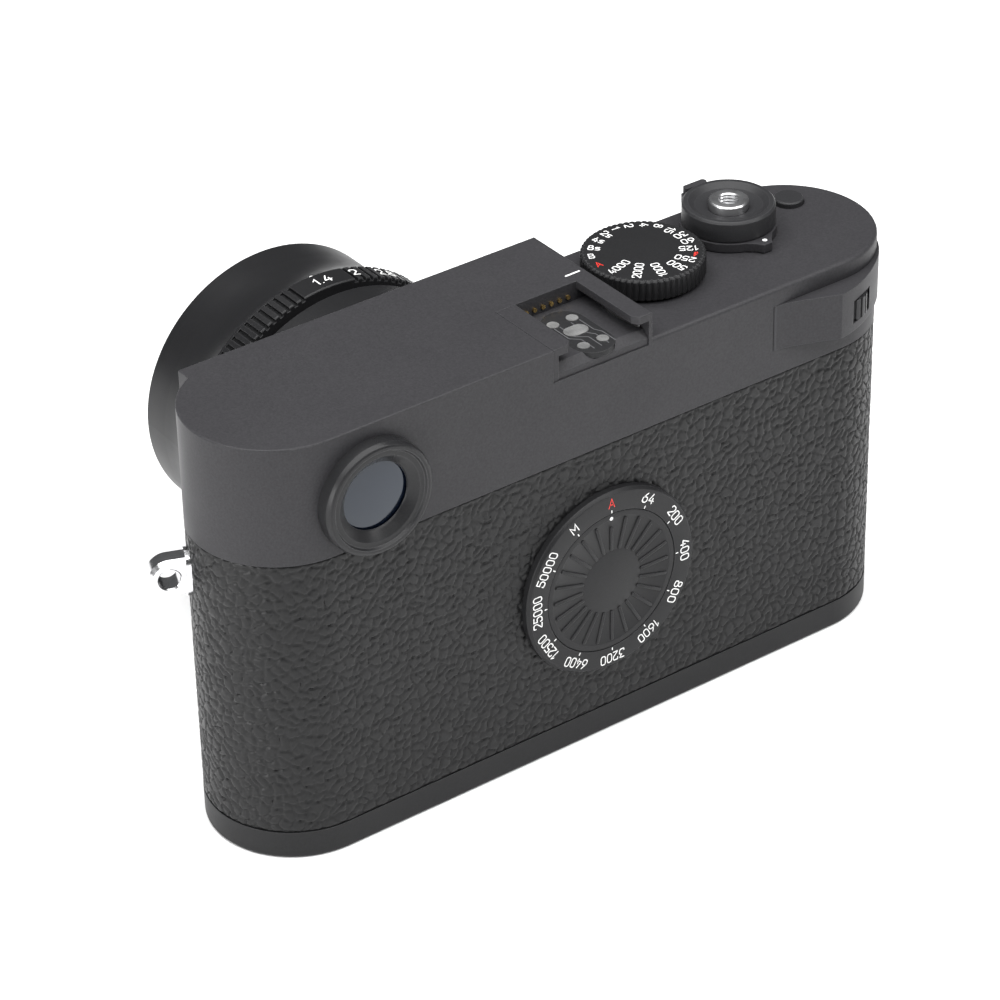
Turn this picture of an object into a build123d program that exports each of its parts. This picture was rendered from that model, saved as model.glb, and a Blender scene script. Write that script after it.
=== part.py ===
from build123d import *
import os
from math import cos, radians, sin

# Rangefinder camera with a fast standard lens. Millimetres, +Z up, the lens looks along -Y.
# The origin is on the underside of the base plate, in the middle of the body's width.

os.makedirs("parts", exist_ok=True)

# ---- body envelope
BODY_W = 139.0
BODY_D = 32.0
BASE_TOP = 5.35            # top of the plain base band
LEATHER_TOP = 59.2         # top edge of the leather, underside of the top plate
DECK_LOW = 76.3            # deck that carries the dials
DECK_HIGH = 81.4           # raised deck over the viewfinder
STEP_X = -11.3             # step between the two decks
BROW_Y = -17.0             # front face of the raised deck's brow
BROW_X = 61.1              # left end of the brow
BROW_Z = 62.0              # underside of the brow
LEATHER_T = 0.7
WALL = 2.0
SHELL_W = BODY_W - 2 * LEATHER_T
SHELL_D = BODY_D - 2 * LEATHER_T
BACK_Y = BODY_D / 2

# ---- lens axis and stations, as distances in front of the body's middle plane
LENS_X = 8.8
LENS_Z = 34.0
MOUNT_R = 27.0
FLANGE_U = 18.8            # lens seat
RIM_U = 73.6
RIM_R = 26.75
FLARE_U = 56.3
FLARE_R = 28.9
APERTURE_U = (51.0, 56.1)
APERTURE_R = 29.5
FOCUS_U = (34.2, 49.4)
FOCUS_R = 28.7
SLEEVE_R = 26.85
TUBE_R = 25.25
SEAT_R = 25.85
RUN = 0.05                 # radial running clearance

# ---- accessory shoe
SHOE_X = -1.25
SHOE_SLOT = 18.7
SHOE_OPENING = 12.9
SHOE_FLOOR = 77.9
RAIL_UNDER = 80.0
SHOE_PAN = 75.3
SHOE_FRONT = -0.2

# ---- deck controls
DIAL_C = (-23.7, -2.4)
DIAL_R = 10.86
DIAL_Z = (76.8, 80.8)
DIAL_TEETH = 60
RELEASE_C = (-44.9, -5.35)
COLLAR_R = 8.24
COLLAR_Z = (78.3, 82.1)
BUTTON_R = 3.55
BUTTON_TOP = 82.55
FUNC_C = (-59.8, -6.8)
FUNC_R = 2.7

# ---- back controls
ISO_C = (-1.4, 32.4)
ISO_R = 17.96
ISO_DISC_R = 13.67
ISO_FACE = 17.6          # y of the fixed numbered ring
EYE_C = (46.1, 68.4)
EYE_R = 10.3
CABLE_FLOOR = 77.9       # bottom of the cable release thread
TRIPOD_DEPTH = 5.2
END_R = BODY_D / 2
END_X = BODY_W / 2 - END_R
LUG_TURN = 22.0          # degrees that each strap lug sits towards the front, about its rounded end
LUG_Z = 50.8
LUG_REACH = 19.4         # eye centre from the axis of the rounded end
LUG_EYE_R = 3.5
LUG_HOLE_R = 1.85
LUG_THICK = 4.0
LUG_BEVEL = 0.7
LUG_FOOT = (8.8, 4.8)
WHEEL_C = (-54.3, 14.8)
WHEEL_R = 4.2
WHEEL_Z = (66.0, 69.9)
REST_Z = (64.2, 73.0)

# ---- battery and base
BATT_X = (-61.5, -36.5)
BATT_Y = 8.0
LATCH_C = (-24.5, 0.0)
LATCH_R = 8.0


def front_plane(u):
    """A sketch plane u in front of the middle plane, facing forward: local x = -X, local y = +Z."""
    return Plane(origin=(LENS_X, -u, LENS_Z), x_dir=(-1, 0, 0), z_dir=(0, -1, 0))


def back_plane(y, x=0.0, z=0.0):
    """A sketch plane at depth y facing backward: local x = -X, local y = +Z."""
    return Plane(origin=(x, y, z), x_dir=(-1, 0, 0), z_dir=(0, 1, 0))


def lug_outward(side):
    """The level direction in which a strap lug points."""
    return Vector(side, 0, 0).rotate(Axis.Z, -side * LUG_TURN)


def lug_foot_plane(side, reach):
    """A plane square to the lug's outward direction, local x up, at this reach from the end's axis."""
    out = lug_outward(side)
    return Plane(origin=Vector(side * END_X, 0, LUG_Z) + out * reach, x_dir=(0, 0, 1), z_dir=out)


def lug_eye_plane(side, face=1):
    """The upright plane through the middle of the lug, local x outward, facing one side of the eye."""
    out = lug_outward(side)
    return Plane(origin=(side * END_X, 0, LUG_Z), x_dir=out, z_dir=(face * out.Y, -face * out.X, 0))


def eye_outline():
    """The rounded outline of a lug's eye, from inside its foot to its tip."""
    with Locations((LUG_REACH, 0)):
        Circle(LUG_EYE_R)
    with Locations(((LUG_REACH + END_R) / 2, 0)):
        Rectangle(LUG_REACH - END_R, 2 * LUG_EYE_R)


LENS_AXIS = Axis((LENS_X, 0, LENS_Z), (0, 1, 0))


def revolve_lens(points):
    """A ring about the lens axis from (radius, distance in front) corners."""
    with BuildPart() as ring:
        with BuildSketch(Plane.XY.offset(LENS_Z)):
            with BuildLine():
                Polyline([(LENS_X + r, -u) for r, u in points], close=True)
            make_face()
        revolve(axis=LENS_AXIS)
    return ring


def ring(r_out, r_in, u0, u1):
    """A plain cylindrical ring about the lens axis."""
    return revolve_lens([(r_in, u0), (r_out, u0), (r_out, u1), (r_in, u1)])


def turned(centre, points):
    """A solid of revolution about a vertical axis at centre from (radius, height) corners."""
    cx, cy = centre
    with BuildPart() as body:
        with BuildSketch(Plane.XZ.offset(-cy)):
            with BuildLine():
                Polyline([(cx + r, z) for r, z in points], close=True)
            make_face()
        revolve(axis=Axis((cx, cy, 0), (0, 0, 1)))
    return body


def half_rise(r, sag):
    """Height lost at half the radius by a spherical cap of radius r and sagitta sag."""
    sphere = (r * r + sag * sag) / (2 * abs(sag))
    drop = sphere - (sphere * sphere - r * r / 4) ** 0.5
    return drop if sag > 0 else -drop


def save(builder, label):
    builder.part.label = label
    export_step(builder.part, f"parts/{label}.step")


# =====================================================================  body
with BuildPart() as base_plate:
    with BuildSketch(Plane.XY):
        SlotOverall(BODY_W, BODY_D)
    extrude(amount=BASE_TOP)
    fillet(base_plate.edges().group_by(Axis.Z)[0], 0.7)
    with BuildSketch(Plane.XY.offset(WALL)):
        SlotOverall(BODY_W - 2 * WALL, BODY_D - 2 * WALL)
    extrude(amount=BASE_TOP, mode=Mode.SUBTRACT)
    with BuildSketch(Plane.XY):
        with Locations(((BATT_X[0] + BATT_X[1]) / 2, 0)):
            RectangleRounded(BATT_X[1] - BATT_X[0] + 0.5, 2 * BATT_Y + 0.5, 2.2)
        with Locations((LENS_X, 0)):
            Circle(5.0)
        with Locations(LATCH_C):
            Circle(2.05)
        with Locations((40.0, 0)):
            SlotOverall(9.2, 3.4)
    extrude(amount=WALL, mode=Mode.SUBTRACT)
    with BuildSketch(Plane.XY):
        with Locations(LATCH_C):
            Circle(LATCH_R + 0.4)
    extrude(amount=1.3, mode=Mode.SUBTRACT)
    for sx, sy in ((-64.0, 0.0), (62.0, 0.0), (24.0, 12.2), (24.0, -12.2)):
        with Locations((sx, sy, 0)):
            with Locations(Rotation(180, 0, 0)):
                CounterSinkHole(0.85, 1.6, depth=WALL)
save(base_plate, "base_plate")

with BuildPart() as base_screws:
    for sx, sy in ((-64.0, 0.0), (62.0, 0.0), (24.0, 12.2), (24.0, -12.2)):
        with Locations((sx, sy, 0.15)):
            Cone(1.45, 0.84, 0.65, align=(Align.CENTER, Align.CENTER, Align.MIN))
        with Locations((sx, sy, 0.8)):
            Cylinder(0.8, 3.4, align=(Align.CENTER, Align.CENTER, Align.MIN))
        with Locations((sx, sy, 0.15)):
            Box(2.0, 0.35, 0.6, align=(Align.CENTER, Align.CENTER, Align.MIN), mode=Mode.SUBTRACT)
save(base_screws, "base_screws")

with BuildPart() as tripod_bush:
    with BuildSketch(Plane.XY):
        with Locations((LENS_X, 0)):
            Circle(5.0)
            Circle(2.55, mode=Mode.SUBTRACT)
    extrude(amount=8.0)
    with BuildSketch(Plane.XY.offset(TRIPOD_DEPTH)):
        with Locations((LENS_X, 0)):
            Circle(5.0)
    extrude(amount=8.0 - TRIPOD_DEPTH)
save(tripod_bush, "tripod_bush")

with BuildPart() as usb_port:
    with BuildSketch(Plane.XY.offset(0.3)):
        with Locations((40.0, 0)):
            SlotOverall(9.0, 3.2)
            SlotOverall(8.4, 2.6, mode=Mode.SUBTRACT)
    extrude(amount=6.5)
    with BuildSketch(Plane.XY.offset(6.5)):
        with Locations((40.0, 0)):
            SlotOverall(9.0, 3.2)
    extrude(amount=0.8)
    with Locations((40.0, 0, 1.3)):
        Box(6.6, 0.7, 5.3, align=(Align.CENTER, Align.CENTER, Align.MIN))
save(usb_port, "usb_port")

with BuildPart() as body_shell:
    with BuildSketch(Plane.XY.offset(BASE_TOP)):
        SlotOverall(SHELL_W, SHELL_D)
        SlotOverall(SHELL_W - 2 * WALL, SHELL_D - 2 * WALL, mode=Mode.SUBTRACT)
    extrude(amount=LEATHER_TOP - BASE_TOP)
    with BuildSketch(front_plane(SHELL_D / 2 + 1)):
        Circle(23.6)
    extrude(amount=-(WALL + 2), mode=Mode.SUBTRACT)
    with BuildSketch(back_plane(SHELL_D / 2 + 1, ISO_C[0], ISO_C[1])):
        Circle(3.02)
    extrude(amount=-(WALL + 2), mode=Mode.SUBTRACT)
    for side in (-1, 1):
        with BuildSketch(lug_foot_plane(side, END_R - 5.0)):
            Circle(1.52)
        extrude(amount=6.0, mode=Mode.SUBTRACT)
    with BuildSketch(back_plane(-SHELL_D / 2 - 1, -21.5, 12.5)):
        Circle(4.1)
    extrude(amount=WALL + 2, mode=Mode.SUBTRACT)
    with BuildSketch(back_plane(-SHELL_D / 2 - 1, -27.0, 42.0)):
        Circle(2.02)
    extrude(amount=WALL + 2, mode=Mode.SUBTRACT)
save(body_shell, "body_shell")

with BuildPart() as leather_wrap:
    with BuildSketch(Plane.XY.offset(BASE_TOP)):
        SlotOverall(BODY_W, BODY_D)
        SlotOverall(SHELL_W, SHELL_D, mode=Mode.SUBTRACT)
    extrude(amount=LEATHER_TOP - BASE_TOP)
    with BuildSketch(front_plane(BODY_D)):
        Circle(MOUNT_R + 0.2)
    extrude(amount=-BODY_D, mode=Mode.SUBTRACT)
    with BuildSketch(back_plane(BODY_D, ISO_C[0], ISO_C[1])):
        Circle(ISO_R + 0.05)
    extrude(amount=-BODY_D, mode=Mode.SUBTRACT)
    with BuildSketch(back_plane(BODY_D, EYE_C[0], EYE_C[1])):
        Circle(EYE_R + 0.1)
    extrude(amount=-BODY_D, mode=Mode.SUBTRACT)
    for side in (-1, 1):
        with BuildSketch(lug_foot_plane(side, END_R - 1.5)):
            SlotOverall(LUG_FOOT[0] + 0.1, LUG_FOOT[1] + 0.1)
        extrude(amount=3.0, mode=Mode.SUBTRACT)
    with BuildSketch(back_plane(-BODY_D, -21.5, 12.5)):
        Circle(5.7)
    extrude(amount=BODY_D, mode=Mode.SUBTRACT)
    with BuildSketch(back_plane(-BODY_D, -27.0, 42.0)):
        Circle(4.6)
    extrude(amount=BODY_D, mode=Mode.SUBTRACT)
save(leather_wrap, "leather_wrap")

TOP_SKIN = 1.6

with BuildPart() as top_plate:
    with BuildSketch(Plane.XY.offset(LEATHER_TOP)):
        SlotOverall(BODY_W, BODY_D)
    extrude(amount=DECK_LOW - LEATHER_TOP)
    with BuildSketch(Plane.XY.offset(LEATHER_TOP)):
        SlotOverall(BODY_W, BODY_D)
        with Locations((STEP_X, 0)):
            Rectangle(BODY_W, BODY_D + 4, align=(Align.MAX, Align.CENTER), mode=Mode.SUBTRACT)
    extrude(amount=DECK_HIGH - LEATHER_TOP)
    with BuildSketch(Plane.XY.offset(BROW_Z)):
        with Locations((STEP_X, BROW_Y)):
            Rectangle(BROW_X - STEP_X, 12, align=(Align.MIN, Align.MIN))
    extrude(amount=DECK_HIGH - BROW_Z)
    fillet(top_plate.edges().filter_by(lambda e: abs(e.center().Z - DECK_LOW) < 0.01
                                       and e.center().X < STEP_X - 0.2 and e.length > 5), 0.7)
    fillet(top_plate.edges().filter_by(lambda e: abs(e.center().Z - DECK_HIGH) < 0.01
                                       and e.length > 2), 0.25)
    # inner cavities under both decks
    with BuildSketch(Plane.XY.offset(LEATHER_TOP)):
        SlotOverall(BODY_W - 2 * TOP_SKIN, BODY_D - 2 * TOP_SKIN)
        with Locations((STEP_X, 0)):
            Rectangle(BODY_W, BODY_D, align=(Align.MIN, Align.CENTER), mode=Mode.SUBTRACT)
    extrude(amount=DECK_LOW - TOP_SKIN - LEATHER_TOP, mode=Mode.SUBTRACT)
    with BuildSketch(Plane.XY.offset(LEATHER_TOP)):
        SlotOverall(BODY_W - 2 * TOP_SKIN, BODY_D - 2 * TOP_SKIN)
        with Locations((11.5, 0)):
            Rectangle(BODY_W, BODY_D, align=(Align.MAX, Align.CENTER), mode=Mode.SUBTRACT)
    extrude(amount=DECK_HIGH - TOP_SKIN - LEATHER_TOP, mode=Mode.SUBTRACT)
    with BuildSketch(Plane.XY.offset(LEATHER_TOP)):
        with Locations((0.1, 0)):
            Rectangle(22.9, BODY_D - 2 * TOP_SKIN)
    extrude(amount=SHOE_PAN - TOP_SKIN - LEATHER_TOP, mode=Mode.SUBTRACT)
    # the shoe pan, open at the back, under a slot narrower than the pan on the right-hand side
    with BuildSketch(Plane.XY.offset(SHOE_PAN)):
        with Locations((SHOE_X - SHOE_SLOT / 2, SHOE_FRONT)):
            Rectangle(SHOE_SLOT + 1.2, 20, align=(Align.MIN, Align.MIN))
    extrude(amount=RAIL_UNDER - SHOE_PAN, mode=Mode.SUBTRACT)
    with BuildSketch(Plane.XY.offset(RAIL_UNDER)):
        with Locations((SHOE_X - SHOE_OPENING / 2, SHOE_FRONT)):
            Rectangle(SHOE_OPENING + 4.1, 20, align=(Align.MIN, Align.MIN))
    extrude(amount=4, mode=Mode.SUBTRACT)
    with BuildSketch(Plane.XY.offset(RAIL_UNDER)):
        with BuildLine():
            Polyline([(SHOE_X - SHOE_OPENING / 2, 14.9), (SHOE_X - SHOE_OPENING / 2 - 1.0, 16.2),
                      (SHOE_X - SHOE_OPENING / 2 + 1.0, 16.2)], close=True)
        make_face()
    extrude(amount=4, mode=Mode.SUBTRACT)
    # room for the lens mount, the eyepiece and the two front windows
    with BuildSketch(front_plane(BODY_D)):
        Circle(MOUNT_R + 0.2)
    extrude(amount=-(BODY_D - SHELL_D / 2), mode=Mode.SUBTRACT)
    with BuildSketch(back_plane(BODY_D, EYE_C[0], EYE_C[1])):
        Circle(8.02)
    extrude(amount=-BODY_D / 2 - 6, mode=Mode.SUBTRACT)
    with BuildSketch(back_plane(-BODY_D, 50.5, 71.2)):
        RectangleRounded(15.0, 11.0, 1.2)
    extrude(amount=20, mode=Mode.SUBTRACT)
    with BuildSketch(back_plane(-BODY_D, -3.5, 71.2)):
        RectangleRounded(8.0, 6.0, 1.0)
    extrude(amount=20, mode=Mode.SUBTRACT)
    # holes for the deck controls
    with BuildSketch(Plane.XY.offset(DECK_LOW - 4)):
        with Locations(DIAL_C):
            Circle(2.52)
        with Locations(RELEASE_C):
            Circle(4.62)
        with Locations(FUNC_C):
            Circle(FUNC_R + 0.08)
    extrude(amount=8, mode=Mode.SUBTRACT)
    # slot for the thumb wheel
    with Locations((WHEEL_C[0], WHEEL_C[1], (WHEEL_Z[0] + WHEEL_Z[1]) / 2)):
        Cylinder(WHEEL_R + 0.5, WHEEL_Z[1] - WHEEL_Z[0] + 0.6, mode=Mode.SUBTRACT)
save(top_plate, "top_plate")

# thumb rest: a swelling on the back that runs round towards the end
REST_OUTLINE = [(-37.6, 16.0), (-42.7, 17.2), (-49.75, 19.95)]
REST_CURVE = [(-49.75, 19.95), (-52.9, 19.3), (-56.7, 17.85), (-60.0, 15.95), (-63.75, 13.1), (-67.6, 7.6)]
with BuildPart() as thumb_rest:
    with BuildSketch(Plane.XY.offset(REST_Z[0])):
        with BuildLine():
            Spline(REST_OUTLINE, tangents=[(-1, 0.02), (-1, 0.42)])
            Spline(REST_CURVE)
            Line((-67.6, 7.6), (-60.0, 4.0))
            Line((-60.0, 4.0), (-37.6, 4.0))
            Line((-37.6, 4.0), (-37.6, 16.0))
        make_face()
        SlotOverall(BODY_W, BODY_D, mode=Mode.SUBTRACT)
    extrude(amount=REST_Z[1] - REST_Z[0])
    with Locations((WHEEL_C[0], WHEEL_C[1], (WHEEL_Z[0] + WHEEL_Z[1]) / 2)):
        Cylinder(WHEEL_R + 0.5, WHEEL_Z[1] - WHEEL_Z[0] + 0.6, mode=Mode.SUBTRACT)
save(thumb_rest, "thumb_rest")

with BuildPart() as thumb_wheel:
    with BuildSketch(Plane.XY.offset(WHEEL_Z[0])):
        with Locations(WHEEL_C):
            Circle(WHEEL_R)
            Circle(1.0 + RUN, mode=Mode.SUBTRACT)
            with PolarLocations(WHEEL_R, 18):
                Rectangle(0.7, 0.55, mode=Mode.SUBTRACT)
    extrude(amount=WHEEL_Z[1] - WHEEL_Z[0])
save(thumb_wheel, "thumb_wheel")

with BuildPart() as thumb_wheel_pin:
    with BuildSketch(Plane.XY.offset(WHEEL_Z[0] - 0.3)):
        with Locations(WHEEL_C):
            Circle(1.0)
    extrude(amount=WHEEL_Z[1] - WHEEL_Z[0] + 0.6)
save(thumb_wheel_pin, "thumb_wheel_pin")

# =====================================================================  viewfinder
with BuildPart() as eyepiece_ring:
    with BuildSketch(Plane.YZ.offset(EYE_C[0])):
        with BuildLine():
            Polyline([(BACK_Y, EYE_C[1] + 8.02), (BACK_Y, EYE_C[1] + EYE_R), (18.3, EYE_C[1] + EYE_R - 0.05),
                      (18.9, EYE_C[1] + 9.85), (19.0, EYE_C[1] + 9.6), (19.0, EYE_C[1] + 9.0),
                      (18.5, EYE_C[1] + 8.7), (18.5, EYE_C[1] + 7.8), (17.3, EYE_C[1] + 6.3),
                      (17.0, EYE_C[1] + 6.1), (17.0, EYE_C[1] + 8.02)], close=True)
        make_face()
    revolve(axis=Axis((EYE_C[0], 0, EYE_C[1]), (0, 1, 0)))
save(eyepiece_ring, "eyepiece_ring")

with BuildPart() as eyepiece_tube:
    with BuildSketch(back_plane(8.0, *EYE_C)):
        Circle(8.0)
        Circle(6.9, mode=Mode.SUBTRACT)
    extrude(amount=9.0)
    with BuildSketch(back_plane(8.0, *EYE_C)):
        Circle(7.0)
        Circle(5.6, mode=Mode.SUBTRACT)
    extrude(amount=1.0)
save(eyepiece_tube, "eyepiece_tube")

with BuildPart() as eyepiece_lens:
    with BuildSketch(Plane.YZ.offset(EYE_C[0])):
        with BuildLine():
            Line((14.6, EYE_C[1]), (14.6, EYE_C[1] + 6.85))
            Line((14.6, EYE_C[1] + 6.85), (16.6, EYE_C[1] + 6.85))
            ThreePointArc((16.6, EYE_C[1] + 6.85), (16.98 - half_rise(6.85, 0.38), EYE_C[1] + 6.85 / 2),
                          (16.98, EYE_C[1]))
            Line((16.98, EYE_C[1]), (14.6, EYE_C[1]))
        make_face()
    revolve(axis=Axis((EYE_C[0], 0, EYE_C[1]), (0, 1, 0)))
save(eyepiece_lens, "eyepiece_lens")

with BuildPart() as viewfinder_block:
    with Locations((48.3, -3.2, 69.4)):
        Box(17.0, 18.0, 15.0)
    with Locations((26.2, -3.2, 69.4)):
        Box(27.2, 9.0, 9.0)
    chamfer(viewfinder_block.edges().filter_by(Axis.Z).group_by(Axis.X)[-1], 1.5)
save(viewfinder_block, "viewfinder_block")

with BuildPart() as viewfinder_bezel:
    with BuildSketch(back_plane(-16.4, 50.5, 71.2)):
        RectangleRounded(14.96, 10.96, 1.2)
        RectangleRounded(12.6, 8.6, 0.8, mode=Mode.SUBTRACT)
    extrude(amount=3.0)
save(viewfinder_bezel, "viewfinder_bezel")

with BuildPart() as viewfinder_window:
    with BuildSketch(back_plane(-15.4, 50.5, 71.2)):
        RectangleRounded(12.56, 8.56, 0.8)
    extrude(amount=1.5)
save(viewfinder_window, "viewfinder_window")

with BuildPart() as rangefinder_window:
    with BuildSketch(back_plane(-16.2, -3.5, 71.2)):
        RectangleRounded(7.96, 5.96, 1.0)
    extrude(amount=1.4)
save(rangefinder_window, "rangefinder_window")

# =====================================================================  accessory shoe
with BuildPart() as shoe_block:
    with BuildSketch(Plane.XY.offset(SHOE_PAN)):
        with Locations((SHOE_X - SHOE_SLOT / 2 + 0.03, SHOE_FRONT + 0.03)):
            Rectangle(SHOE_SLOT - 0.06, 15.9, align=(Align.MIN, Align.MIN))
    extrude(amount=SHOE_FLOOR - SHOE_PAN)
    chamfer(shoe_block.edges().filter_by(Axis.X).group_by(Axis.Y)[-1].group_by(Axis.Z)[-1], 1.3)
    with BuildSketch(Plane.XY.offset(SHOE_FLOOR - 1.0)):
        with Locations((-1.25, 8.6)):
            SlotOverall(15.4, 8.0, rotation=90)
    extrude(amount=2, mode=Mode.SUBTRACT)
save(shoe_block, "shoe_block")

with BuildPart() as shoe_insulator:
    with BuildSketch(Plane.XY.offset(SHOE_FLOOR - 1.0)):
        with Locations((-1.25, 8.6)):
            SlotOverall(15.34, 7.94, rotation=90)
    extrude(amount=1.0)
    with BuildSketch(Plane.XY.offset(SHOE_FLOOR - 0.4)):
        with Locations((-3.25, 4.4), (0.75, 4.4), (-3.25, 12.9), (0.75, 12.9)):
            Circle(1.1)
        with Locations((-1.25, 8.1)):
            SlotOverall(4.6, 3.1)
    extrude(amount=1.0, mode=Mode.SUBTRACT)
save(shoe_insulator, "shoe_insulator")

with BuildPart() as shoe_contacts:
    with BuildSketch(Plane.XY.offset(SHOE_FLOOR - 0.4)):
        with Locations((-3.25, 4.4), (0.75, 4.4), (-3.25, 12.9), (0.75, 12.9)):
            Circle(1.07)
        with Locations((-1.25, 8.1)):
            SlotOverall(4.54, 3.04)
    extrude(amount=0.5)
save(shoe_contacts, "shoe_contacts")

with BuildPart() as shoe_pins:
    with BuildSketch(back_plane(SHOE_FRONT)):
        with Locations([(1.4 + 1.75 * (i - 2.5), 79.0) for i in range(6)]):
            Circle(0.4)
    extrude(amount=0.35)
save(shoe_pins, "shoe_pins")

with BuildPart() as shoe_plate:
    rail_in = SHOE_X + SHOE_OPENING / 2
    wall_in = SHOE_X + SHOE_SLOT / 2
    with BuildSketch(Plane.XZ.offset(-SHOE_FRONT - 0.03)):
        with BuildLine():
            Polyline([(wall_in + 0.02, SHOE_PAN), (9.2, SHOE_PAN), (9.2, DECK_HIGH), (rail_in, DECK_HIGH),
                      (rail_in, RAIL_UNDER), (wall_in + 0.02, RAIL_UNDER)], close=True)
        make_face()
    extrude(amount=-16.0)
    chamfer(shoe_plate.edges().filter_by(Axis.Z).group_by(Axis.Y)[-1].group_by(Axis.X)[0], 1.0)
save(shoe_plate, "shoe_plate")

with BuildPart() as shoe_spring:
    with BuildSketch(Plane.XY.offset(SHOE_FLOOR)):
        with BuildLine():
            ThreePointArc((-10.3, 1.2), (-9.4, 7.4), (-10.3, 13.6))
            offset(amount=0.15)
        make_face()
    extrude(amount=1.7)
save(shoe_spring, "shoe_spring")

# =====================================================================  deck controls
with BuildPart() as shutter_dial:
    with BuildSketch(Plane.XY.offset(DIAL_Z[0])):
        with Locations(DIAL_C):
            Circle(DIAL_R)
    extrude(amount=DIAL_Z[1] - DIAL_Z[0])
    chamfer(shutter_dial.edges().group_by(Axis.Z)[-1], 0.3)
    with BuildSketch(Plane.XY.offset(DIAL_Z[0])):
        with Locations(DIAL_C):
            with PolarLocations(DIAL_R + 0.1, DIAL_TEETH):
                Circle(0.36)
    extrude(amount=DIAL_Z[1] - DIAL_Z[0], mode=Mode.SUBTRACT)
    with BuildSketch(Plane.XY.offset(DIAL_Z[0])):
        with Locations(DIAL_C):
            Circle(2.5 + RUN)
    extrude(amount=2.4, mode=Mode.SUBTRACT)
save(shutter_dial, "shutter_dial")

shutter_axle = turned(DIAL_C, [(0, 68.0), (2.5, 68.0), (2.5, 73.5), (4.2, 73.5), (4.2, 74.68), (2.5, 74.68),
                               (2.5, 79.1), (0, 79.1)])
save(shutter_axle, "shutter_dial_axle")

with BuildPart() as main_switch:
    with BuildSketch(Plane.XY.offset(76.5)):
        with Locations(RELEASE_C):
            Circle(8.55)
        with BuildLine():
            Polyline([(RELEASE_C[0] - 4.6, RELEASE_C[1] + 6.6), (RELEASE_C[0] - 2.0, RELEASE_C[1] + 9.4),
                      (RELEASE_C[0] - 1.2, RELEASE_C[1] + 10.6), (RELEASE_C[0] + 0.6, RELEASE_C[1] + 10.6),
                      (RELEASE_C[0] + 1.4, RELEASE_C[1] + 9.4), (RELEASE_C[0] + 4.6, RELEASE_C[1] + 6.6)],
                     close=True)
        make_face()
        with BuildLine():
            Polyline([(RELEASE_C[0] - 5.0, RELEASE_C[1] - 6.0), (RELEASE_C[0] - 4.6, RELEASE_C[1] - 12.9),
                      (RELEASE_C[0] + 0.3, RELEASE_C[1] - 12.9), (RELEASE_C[0] + 3.8, RELEASE_C[1] - 6.6)],
                     close=True)
        make_face()
        with Locations(RELEASE_C):
            Circle(5.0 + RUN, mode=Mode.SUBTRACT)
    extrude(amount=1.6)
    with BuildSketch(Plane.XY.offset(78.1)):
        with Locations((RELEASE_C[0] - 2.15, RELEASE_C[1] - 12.1)):
            RectangleRounded(4.8, 1.3, 0.5)
    extrude(amount=1.5)
save(main_switch, "main_switch")

collar = turned(RELEASE_C, [(BUTTON_R + 0.07, 70.0), (4.6, 70.0), (4.6, 76.3), (5.0, 76.3), (5.0, 78.3),
                            (COLLAR_R, 78.3), (COLLAR_R, 81.7), (COLLAR_R - 0.35, COLLAR_Z[1]),
                            (COLLAR_R - 1.1, COLLAR_Z[1]), (6.0, 81.35), (4.6, 81.0),
                            (BUTTON_R + 0.07, 80.9)])
save(collar, "release_collar")

button = turned(RELEASE_C, [(0, 71.4), (BUTTON_R, 71.4), (BUTTON_R, 82.25), (BUTTON_R - 0.3, BUTTON_TOP),
                            (1.95, BUTTON_TOP), (1.75, 82.3), (1.75, CABLE_FLOOR), (0, CABLE_FLOOR)])
save(button, "release_button")

func = turned(FUNC_C, [(0, 73.6), (1.6, 73.6), (1.6, 74.9), (FUNC_R, 74.9), (FUNC_R, 77.1),
                       (FUNC_R - 0.2, 77.3), (0, 77.3)])
save(func, "function_button")

# =====================================================================  sensitivity dial
with BuildPart() as iso_ring:
    with BuildSketch(back_plane(SHELL_D / 2, *ISO_C)):
        Circle(ISO_R)
        Circle(ISO_DISC_R + 0.08, mode=Mode.SUBTRACT)
    extrude(amount=ISO_FACE - SHELL_D / 2)
    chamfer(iso_ring.edges().group_by(Axis.Y)[-1].sort_by(SortBy.RADIUS)[-1], 0.5)
save(iso_ring, "iso_ring")

with BuildPart() as iso_disc:
    with BuildSketch(back_plane(15.7, *ISO_C)):
        Circle(ISO_DISC_R)
    extrude(amount=ISO_FACE - 0.1 - 15.7)
    with BuildSketch(back_plane(ISO_FACE - 0.1, *ISO_C)):
        with PolarLocations(9.2, 24):
            SlotOverall(6.0, 0.8)
    extrude(amount=0.45)
    with BuildSketch(back_plane(15.7, *ISO_C)):
        Circle(3.0)
    extrude(amount=-3.9)
save(iso_disc, "iso_disc")

# =====================================================================  strap lugs
for side, label in ((1, "strap_lug_left"), (-1, "strap_lug_right")):
    with BuildPart() as lug:
        with BuildSketch(lug_foot_plane(side, END_R - LEATHER_T)):
            SlotOverall(LUG_FOOT[0], LUG_FOOT[1])
        extrude(amount=LEATHER_T + 0.6)
        with BuildSketch(lug_foot_plane(side, END_R - 4.5)):
            Circle(1.5)
        extrude(amount=4.5)
        for face in (1, -1):
            with BuildSketch(lug_eye_plane(side, face)):
                eye_outline()
            extrude(amount=LUG_THICK / 2 - LUG_BEVEL)
            with BuildSketch(lug_eye_plane(side, face).offset(LUG_THICK / 2 - LUG_BEVEL)):
                eye_outline()
            extrude(amount=LUG_BEVEL, taper=40)
        with BuildSketch(lug_eye_plane(side)):
            with Locations((LUG_REACH, 0)):
                Circle(LUG_HOLE_R)
        extrude(amount=LUG_THICK / 2, both=True, mode=Mode.SUBTRACT)
        mouths = lug.edges().filter_by(GeomType.CIRCLE).filter_by(lambda e: abs(e.radius - LUG_HOLE_R) < 0.01)
        chamfer(mouths, 0.25)
    save(lug, label)

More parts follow.
